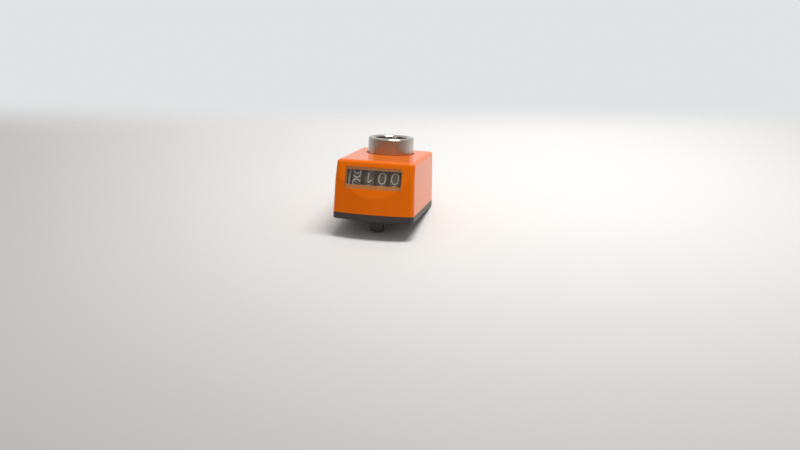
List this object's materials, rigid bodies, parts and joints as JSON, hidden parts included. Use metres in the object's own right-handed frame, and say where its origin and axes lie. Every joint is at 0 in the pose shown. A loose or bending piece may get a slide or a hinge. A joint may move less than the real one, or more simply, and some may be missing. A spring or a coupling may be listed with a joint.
{
  "type": "mechanical position indicator",
  "caption": "Orange direct-drive position indicator: moulded case on a dark base with a torque pin, hollow steel shaft and number wheels behind a clear window.",
  "frame": {"origin": "on the shaft bore's axis at the mounting face, the underside of the base plate", "axes": "+Z along the bore up to the boss rim, -Y toward the window, +X to the right as seen from the window side"},
  "size_m": [0.0338, 0.048, 0.037],
  "materials": {
    "orange_plastic": "glossy moulded orange",
    "clear_plastic": "clear polished",
    "dark_plastic": "fine matt moulded",
    "steel": "turned",
    "black_steel": "blackened",
    "gear_plastic": "natural moulded",
    "bronze": "plain",
    "seal_rubber": "smooth",
    "frame_plastic": "grey moulded",
    "wheel_plastic": "black moulded with white printed numbers"
  },
  "bodies": {
    "housing": {"case": "orange_plastic", "window_lens": "clear_plastic", "base_plate": "dark_plastic", "thrust_washer": "bronze", "front_seal": "seal_rubber", "seal_retainer": "dark_plastic", "counter_frame": "frame_plastic", "gear_plate": "steel", "gear_plate_screws": "steel", "drive_pinion_pin": "steel", "idler_pin": "steel", "transfer_axle": "steel"},
    "shaft": {"drive_bush": "steel", "set_screw": "black_steel", "crown_gear": "gear_plastic"},
    "drive_pinion": {"drive_pinion": "gear_plastic"},
    "idler": {"idler_gear": "gear_plastic"},
    "units": {"counter_shaft": "steel", "input_gear": "gear_plastic", "number_wheel_units": "wheel_plastic"},
    "tens": {"number_wheel_tens": "wheel_plastic"},
    "hundreds": {"number_wheel_hundreds": "wheel_plastic"},
    "thousands": {"number_wheel_thousands": "wheel_plastic"},
    "transfer_tens": {"transfer_pinion_tens": "gear_plastic"},
    "transfer_hundreds": {"transfer_pinion_hundreds": "gear_plastic"},
    "transfer_thousands": {"transfer_pinion_thousands": "gear_plastic"}
  },
  "joints": [
    {"name": "shaft_turn", "type": "hinge", "parent": "housing", "child": "shaft", "pos_m": [0, 0, 0.015], "axis": [0, 0, 1], "continuous": true},
    {"name": "drive_pinion_turn", "type": "hinge", "parent": "housing", "child": "drive_pinion", "pos_m": [-0.0123, 0, 0.0094], "axis": [1, 0, 0], "continuous": true},
    {"name": "idler_turn", "type": "hinge", "parent": "housing", "child": "idler", "pos_m": [-0.0126, -0.00756, 0.01258], "axis": [1, 0, 0], "continuous": true},
    {"name": "units_turn", "type": "hinge", "parent": "housing", "child": "units", "pos_m": [-0.00775, -0.0205, 0.0138], "axis": [1, 0, 0], "continuous": true},
    {"name": "tens_turn", "type": "hinge", "parent": "housing", "child": "tens", "pos_m": [-0.00245, -0.0205, 0.0138], "axis": [1, 0, 0], "continuous": true},
    {"name": "hundreds_turn", "type": "hinge", "parent": "housing", "child": "hundreds", "pos_m": [0.00285, -0.0205, 0.0138], "axis": [1, 0, 0], "continuous": true},
    {"name": "thousands_turn", "type": "hinge", "parent": "housing", "child": "thousands", "pos_m": [0.00815, -0.0205, 0.0138], "axis": [1, 0, 0], "continuous": true},
    {"name": "transfer_tens_turn", "type": "hinge", "parent": "housing", "child": "transfer_tens", "pos_m": [-0.0051, -0.02706, 0.00652], "axis": [1, 0, 0], "continuous": true},
    {"name": "transfer_hundreds_turn", "type": "hinge", "parent": "housing", "child": "transfer_hundreds", "pos_m": [0.0002, -0.02706, 0.00652], "axis": [1, 0, 0], "continuous": true},
    {"name": "transfer_thousands_turn", "type": "hinge", "parent": "housing", "child": "transfer_thousands", "pos_m": [0.0055, -0.02706, 0.00652], "axis": [1, 0, 0], "continuous": true}
  ],
  "couplings": [
    {"joint": "drive_pinion_turn", "follows": "shaft_turn", "ratio": -3},
    {"joint": "idler_turn", "follows": "shaft_turn", "ratio": 1.2414},
    {"joint": "units_turn", "follows": "shaft_turn", "ratio": -1},
    {"joint": "tens_turn", "follows": "shaft_turn", "ratio": -0.1},
    {"joint": "hundreds_turn", "follows": "shaft_turn", "ratio": -0.01},
    {"joint": "thousands_turn", "follows": "shaft_turn", "ratio": -0.001},
    {"joint": "transfer_tens_turn", "follows": "shaft_turn", "ratio": 0.25},
    {"joint": "transfer_hundreds_turn", "follows": "shaft_turn", "ratio": 0.025},
    {"joint": "transfer_thousands_turn", "follows": "shaft_turn", "ratio": 0.0025}
  ]
}
